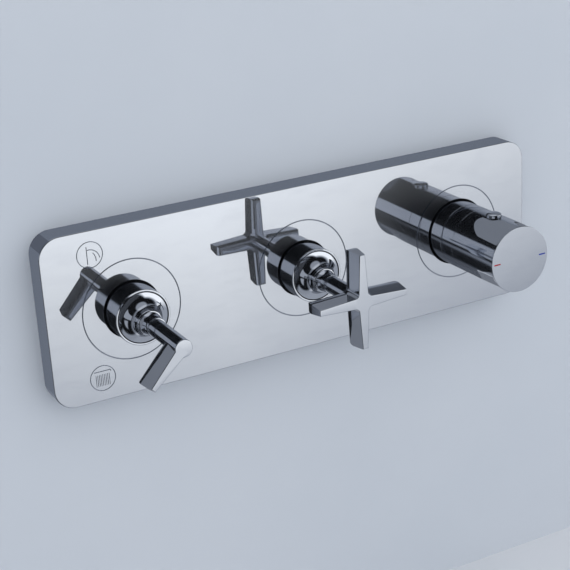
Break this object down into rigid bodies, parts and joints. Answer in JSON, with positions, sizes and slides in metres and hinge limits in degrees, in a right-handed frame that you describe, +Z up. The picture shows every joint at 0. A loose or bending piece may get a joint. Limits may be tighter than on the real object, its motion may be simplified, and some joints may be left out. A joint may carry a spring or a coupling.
{
  "type": "thermostatic shower valve",
  "caption": "Concealed thermostatic shower valve with a long cover plate, a diverter lever, a shut-off cross handle and a thermostat knob.",
  "frame": {"origin": "centre of the cover plate, in the plane of the wall's face", "axes": "+X to the right and +Z up as seen by someone in front of the wall; the front faces -Y, and the wall is behind y = 0"},
  "size_m": [0.38, 0.1669, 0.12],
  "materials": {
    "plate_chrome": "mirror polished chrome plate with fine engraved lines",
    "chrome": "mirror polished chrome plating",
    "black_rubber": "matt black rubber",
    "zinc_steel": "zinc plated pressed steel",
    "spring_steel": "stainless spring steel",
    "screw_steel": "stainless steel",
    "dark_steel": "blackened steel",
    "raw_brass": "sand cast and machined brass",
    "ceramic": "lapped white ceramic",
    "red_enamel": "red enamel filled line",
    "blue_enamel": "blue enamel filled line",
    "grey_plastic": "moulded engineering plastic",
    "white_plastic": "moulded white plastic"
  },
  "bodies": {
    "fixed": {"cover_plate": "plate_chrome", "plate_edge_seal": "black_rubber", "sleeve_seals": "black_rubber", "cartridge_o_rings": "black_rubber", "diverter_disc_seal": "black_rubber", "shutoff_disc_seal": "black_rubber", "mounting_frame": "zinc_steel", "cover_clips": "spring_steel", "frame_pillars": "zinc_steel", "frame_screws": "screw_steel", "bracket_screws": "screw_steel", "left_wall_bracket": "zinc_steel", "right_wall_bracket": "zinc_steel", "valve_body": "raw_brass", "end_plugs": "raw_brass", "diverter_sleeve": "chrome", "shutoff_sleeve": "chrome", "thermostat_sleeve": "chrome", "thermostat_stop_ring": "chrome", "diverter_cartridge_housing": "raw_brass", "shutoff_cartridge_housing": "raw_brass", "thermostat_cartridge_housing": "raw_brass", "diverter_cartridge_nut": "raw_brass", "shutoff_cartridge_nut": "raw_brass", "thermostat_cartridge_nut": "raw_brass", "diverter_fixed_disc": "ceramic", "shutoff_fixed_disc": "ceramic", "return_spring": "spring_steel", "inlet_strainers": "screw_steel", "check_valve_housings": "white_plastic", "hot_check_spring": "spring_steel", "cold_check_spring": "spring_steel"},
    "diverter": {"diverter_moving_disc": "ceramic", "diverter_spindle": "raw_brass", "diverter_handle_base": "chrome", "diverter_handle_screw": "screw_steel", "diverter_grub_screw": "screw_steel", "diverter_lever": "chrome"},
    "shutoff": {"shutoff_moving_disc": "ceramic", "shutoff_spindle": "raw_brass", "shutoff_handle_base": "chrome", "shutoff_handle_screw": "screw_steel", "shutoff_grub_screw": "screw_steel", "shutoff_cross_handle": "chrome"},
    "thermostat": {"thermostat_spindle": "raw_brass", "thermostat_knob": "chrome", "knob_face": "chrome", "hot_mark": "red_enamel", "cold_mark": "blue_enamel", "knob_carrier": "grey_plastic", "knob_screw": "screw_steel", "knob_set_screw": "dark_steel", "button_spring": "spring_steel"},
    "button": {"safety_button": "chrome"},
    "thermo_element": {"overload_cup": "screw_steel", "overload_spring": "spring_steel", "wax_element": "raw_brass", "mixing_piston": "grey_plastic"},
    "hot_check": {"hot_check_poppet": "white_plastic"},
    "cold_check": {"cold_check_poppet": "white_plastic"}
  },
  "joints": [
    {"name": "diverter_turn", "type": "hinge", "parent": "fixed", "child": "diverter", "pos_m": [-0.13, 0, 0], "axis": [0, 1, 0], "range_deg": [0, 90]},
    {"name": "shutoff_turn", "type": "hinge", "parent": "fixed", "child": "shutoff", "pos_m": [0, 0, 0], "axis": [0, 1, 0], "range_deg": [-90, 0]},
    {"name": "thermostat_turn", "type": "hinge", "parent": "fixed", "child": "thermostat", "pos_m": [0.13, 0, 0], "axis": [0, 1, 0], "range_deg": [-90, 90]},
    {"name": "safety_button_press", "type": "slide", "parent": "thermostat", "child": "button", "axis": [0, 0, -1], "range_m": [0, 0.0022], "stiffness_N_per_m": 800, "springref_m": -0.001, "deforming": ["button_spring"]},
    {"name": "thermo_element_shift", "type": "slide", "parent": "fixed", "child": "thermo_element", "axis": [0, 1, 0], "range_m": [-0.0021, 0.0021], "deforming": ["return_spring"]},
    {"name": "hot_check_lift", "type": "slide", "parent": "fixed", "child": "hot_check", "axis": [0, 0, 1], "range_m": [0, 0.003], "stiffness_N_per_m": 60, "springref_m": -0.002, "deforming": ["hot_check_spring"]},
    {"name": "cold_check_lift", "type": "slide", "parent": "fixed", "child": "cold_check", "axis": [0, 0, 1], "range_m": [0, 0.003], "stiffness_N_per_m": 60, "springref_m": -0.002, "deforming": ["cold_check_spring"]}
  ],
  "couplings": [
    {"joint": "thermo_element_shift", "follows": "thermostat_turn", "m_per_rad": 0.0012732}
  ]
}
